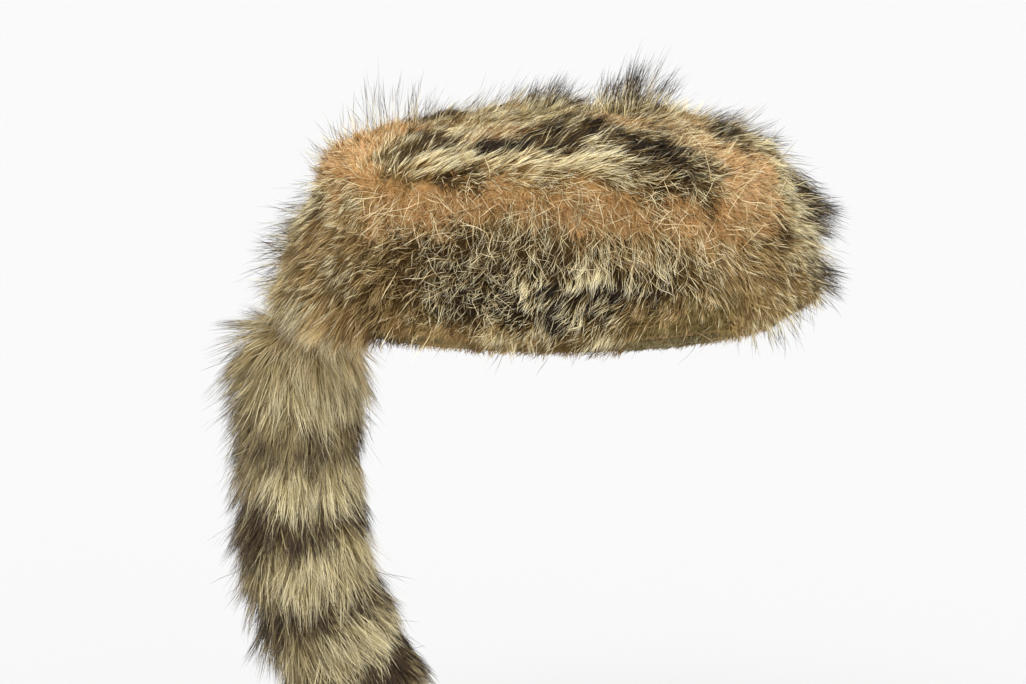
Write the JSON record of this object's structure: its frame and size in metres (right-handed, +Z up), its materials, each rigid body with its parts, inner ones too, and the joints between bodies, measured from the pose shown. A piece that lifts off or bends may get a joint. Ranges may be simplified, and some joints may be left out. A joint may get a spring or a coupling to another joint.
{
  "type": "coonskin cap",
  "caption": "Round fur cap with an oval side band, a domed top panel, a turned-up hem and a long ringed fur tail hanging from the back of the rim.",
  "frame": {"origin": "middle of the head opening, level with the lowest edge of the rim, where the cap sits on a head", "axes": "+Z up to the crown, +X to the front of the cap, +Y to the wearer's left"},
  "size_m": [0.2703, 0.2104, 0.3526],
  "materials": {
    "pelt_skin": "tanned suede, flesh side of the pelt",
    "hem_skin": "tanned pelt edge with the fur clipped short",
    "side_fur": "long raccoon fur, grizzled brown and cream over tan underfur",
    "top_fur": "long raccoon fur, tan and cream with dark brown streaks",
    "tail_fur": "long raccoon tail fur, ringed buff and dark brown"
  },
  "bodies": {
    "root": {"side_band": "pelt_skin", "crown_top": "pelt_skin", "rim_hem": "hem_skin", "side_fur": "side_fur", "top_fur": "top_fur", "tail_tab": "pelt_skin", "tail": "tail_fur"}
  },
  "joints": []
}
